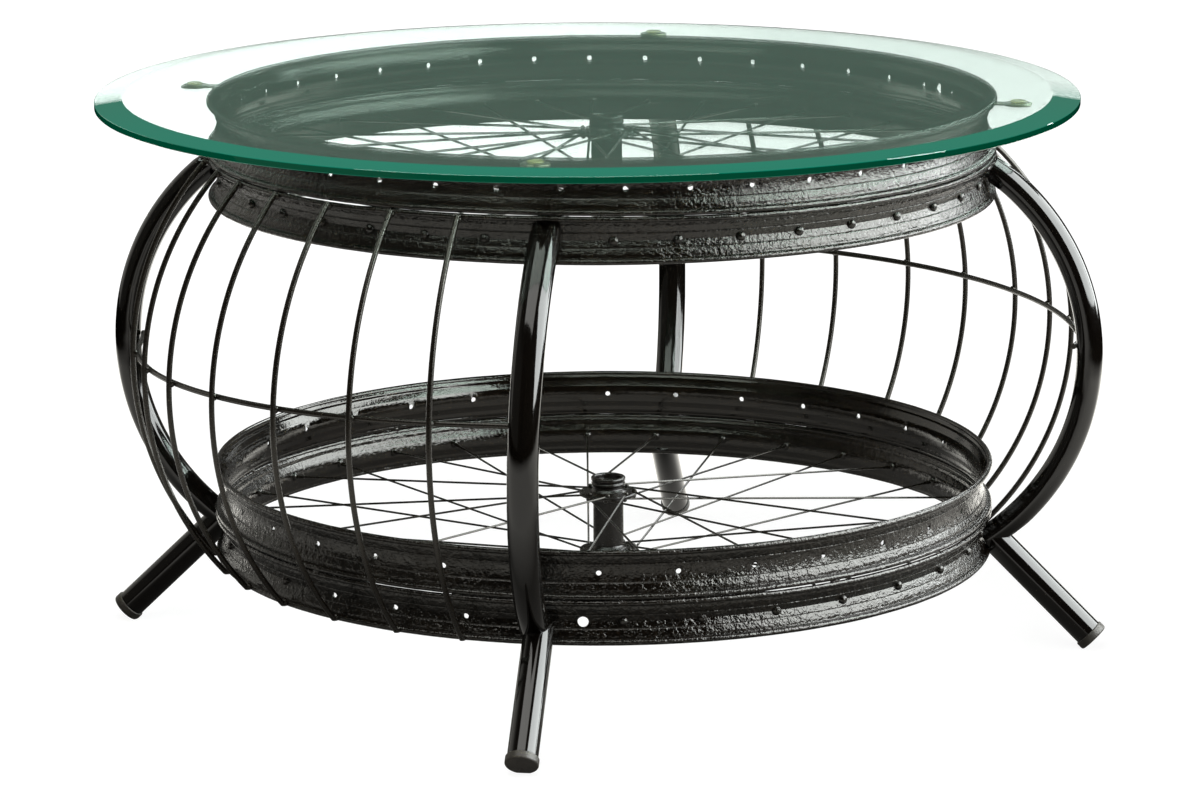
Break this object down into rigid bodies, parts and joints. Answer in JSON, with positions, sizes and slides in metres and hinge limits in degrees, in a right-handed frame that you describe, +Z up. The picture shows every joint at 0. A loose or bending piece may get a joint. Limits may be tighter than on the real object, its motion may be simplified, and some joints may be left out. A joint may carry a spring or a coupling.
{
  "type": "bicycle wheel coffee table",
  "caption": "Round coffee table: stacked bicycle rims with spoked hubs as lower and upper decks, bowed tube legs, wire ribs and a loose bevelled glass top.",
  "frame": {"origin": "on the floor under the axis of the wheels", "axes": "+Z up along the wheel axis, -Y towards the front leg, +X towards the right leg"},
  "size_m": [0.832, 0.8319, 0.4587],
  "materials": {
    "rim_paint": "thick gloss black enamel over pitted steel",
    "tube_paint": "gloss black enamel",
    "rod_paint": "gloss black enamel",
    "hub_paint": "satin black enamel",
    "tab_steel": "dull bare steel",
    "pad_plastic": "yellowed clear bumper",
    "cap_plastic": "worn dark brown-grey tube cap",
    "glass": "clear float glass with a green edge"
  },
  "bodies": {
    "frame": {"front_leg": "tube_paint", "front_foot": "tube_paint", "front_foot_cap": "cap_plastic", "front_support_tab": "tab_steel", "front_glass_pad": "pad_plastic", "right_leg": "tube_paint", "right_foot": "tube_paint", "right_foot_cap": "cap_plastic", "right_support_tab": "tab_steel", "right_glass_pad": "pad_plastic", "back_leg": "tube_paint", "back_foot": "tube_paint", "back_foot_cap": "cap_plastic", "back_support_tab": "tab_steel", "back_glass_pad": "pad_plastic", "left_leg": "tube_paint", "left_foot": "tube_paint", "left_foot_cap": "cap_plastic", "left_support_tab": "tab_steel", "left_glass_pad": "pad_plastic", "lower_spoked_rim": "rim_paint", "lower_empty_rim": "rim_paint", "lower_hub_barrel": "hub_paint", "lower_hub_top_cup": "hub_paint", "lower_hub_bottom_cup": "hub_paint", "lower_top_flange_spokes": "hub_paint", "lower_bottom_flange_spokes": "hub_paint", "upper_spoked_rim": "rim_paint", "upper_empty_rim": "rim_paint", "upper_hub_barrel": "hub_paint", "upper_hub_top_cup": "hub_paint", "upper_hub_bottom_cup": "hub_paint", "upper_top_flange_spokes": "hub_paint", "upper_bottom_flange_spokes": "hub_paint", "front_left_rib_1": "rod_paint", "front_left_rib_2": "rod_paint", "front_left_rib_3": "rod_paint", "front_left_rib_4": "rod_paint", "front_left_rib_5": "rod_paint", "front_left_rib_6": "rod_paint", "front_left_rib_7": "rod_paint", "front_left_tie": "rod_paint", "back_right_rib_1": "rod_paint", "back_right_rib_2": "rod_paint", "back_right_rib_3": "rod_paint", "back_right_rib_4": "rod_paint", "back_right_rib_5": "rod_paint", "back_right_rib_6": "rod_paint", "back_right_rib_7": "rod_paint", "back_right_tie": "rod_paint"},
    "glass": {"glass_top": "glass"}
  },
  "joints": [
    {"name": "glass_lift", "type": "slide", "parent": "frame", "child": "glass", "axis": [0, 0, 1], "range_m": [0, 0.1]}
  ]
}
